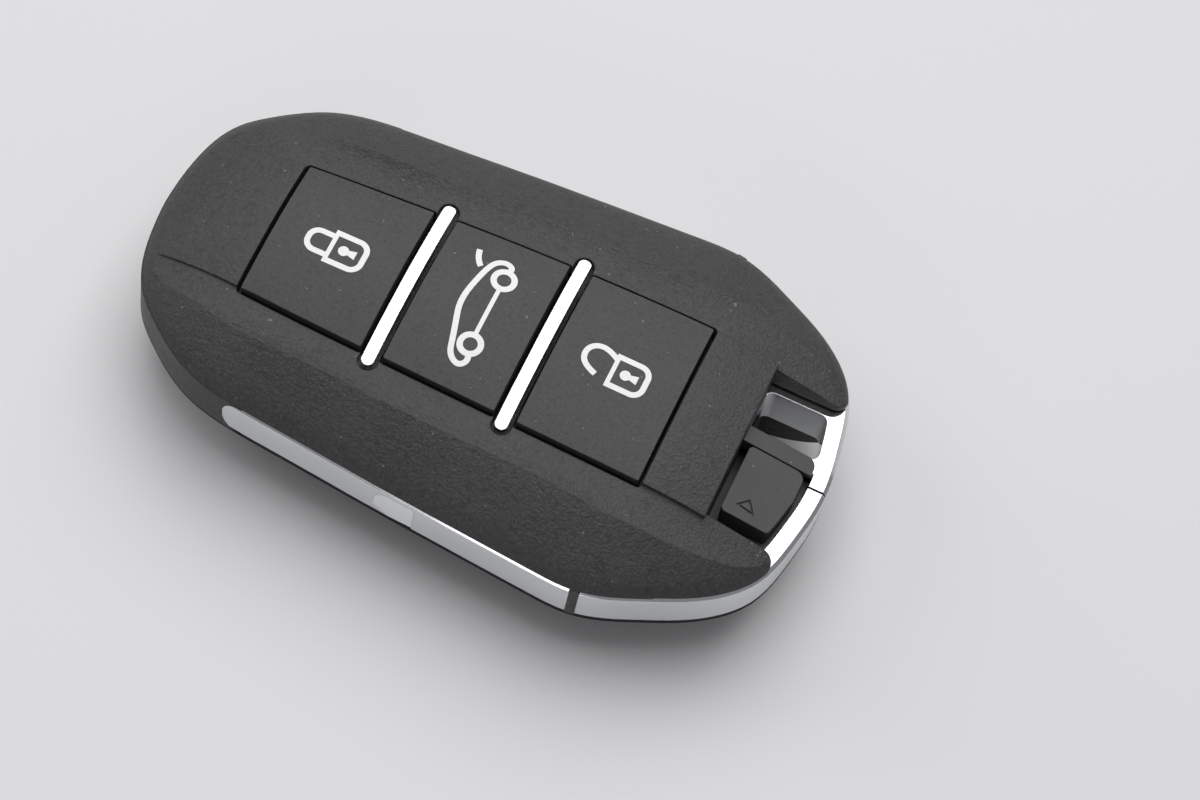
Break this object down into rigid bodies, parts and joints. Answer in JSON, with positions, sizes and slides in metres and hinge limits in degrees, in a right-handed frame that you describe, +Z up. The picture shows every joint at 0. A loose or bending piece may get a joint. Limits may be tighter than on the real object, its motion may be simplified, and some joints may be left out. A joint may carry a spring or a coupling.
{
  "type": "car key fob",
  "caption": "Keyless car key fob with lock, boot and unlock buttons, chrome trim, release catch and a pull-out emergency key.",
  "frame": {"origin": "under the middle of the fob, on its underside", "axes": "+X towards the keyring end, +Y to the side that holds the emergency key, +Z up through the buttons"},
  "size_m": [0.072, 0.0418, 0.0176],
  "materials": {
    "shell": "fine-grained soft-touch plastic",
    "cap": "very fine satin plastic",
    "catch": "satin moulded plastic",
    "chrome": "mirror plating",
    "ink": "white moulded inlay",
    "tray": "plain moulded plastic",
    "steel": "ground steel",
    "board": "green laminate with copper tracks",
    "rubber": "soft silicone",
    "cell": "nickel-plated can",
    "chip": "moulded component bodies"
  },
  "bodies": {
    "housing": {"upper_cover": "shell", "recess_bar": "catch", "side_trim_near": "chrome", "side_trim_far": "chrome", "corner_trim": "chrome", "divider_bar_left": "chrome", "divider_bar_right": "chrome", "inner_frame": "tray", "release_spring": "steel", "contact_negative": "steel", "contact_positive": "steel", "circuit_board": "board", "keypad_mat": "rubber", "lock_dome": "rubber", "boot_dome": "rubber", "unlock_dome": "rubber", "battery": "cell", "controller_chip": "chip", "radio_chip": "chip", "crystal": "chip", "transponder_coil": "chip", "antenna_coil": "chip", "lock_switch": "chip", "boot_switch": "chip", "unlock_switch": "chip"},
    "lower_shell": {"lower_cover": "shell"},
    "emergency_key": {"key_head": "chrome", "key_blade": "steel"},
    "catch": {"release_slider": "catch"},
    "lock_key": {"lock_button": "cap", "lock_symbol": "ink"},
    "boot_key": {"boot_button": "cap", "boot_symbol": "ink"},
    "unlock_key": {"unlock_button": "cap", "unlock_symbol": "ink"}
  },
  "joints": [
    {"name": "lock_press", "type": "slide", "parent": "housing", "child": "lock_key", "axis": [0, 0, -1], "range_m": [0, 0.0005], "stiffness_N_per_m": 1500, "springref_m": -0.0004, "deforming": ["lock_dome"]},
    {"name": "boot_press", "type": "slide", "parent": "housing", "child": "boot_key", "axis": [0, 0, -1], "range_m": [0, 0.0005], "stiffness_N_per_m": 1500, "springref_m": -0.0004, "deforming": ["boot_dome"]},
    {"name": "unlock_press", "type": "slide", "parent": "housing", "child": "unlock_key", "axis": [0, 0, -1], "range_m": [0, 0.0005], "stiffness_N_per_m": 1500, "springref_m": -0.0004, "deforming": ["unlock_dome"]},
    {"name": "release_slide", "type": "slide", "parent": "housing", "child": "catch", "axis": [0, -1, 0], "range_m": [0, 0.0012], "stiffness_N_per_m": 600, "springref_m": -0.001, "deforming": ["release_spring"]},
    {"name": "key_pull", "type": "slide", "parent": "housing", "child": "emergency_key", "axis": [1, 0, 0], "range_m": [0, 0.046]},
    {"name": "lower_cover_lift", "type": "slide", "parent": "housing", "child": "lower_shell", "axis": [0, 0, -1], "range_m": [0, 0.02]}
  ]
}
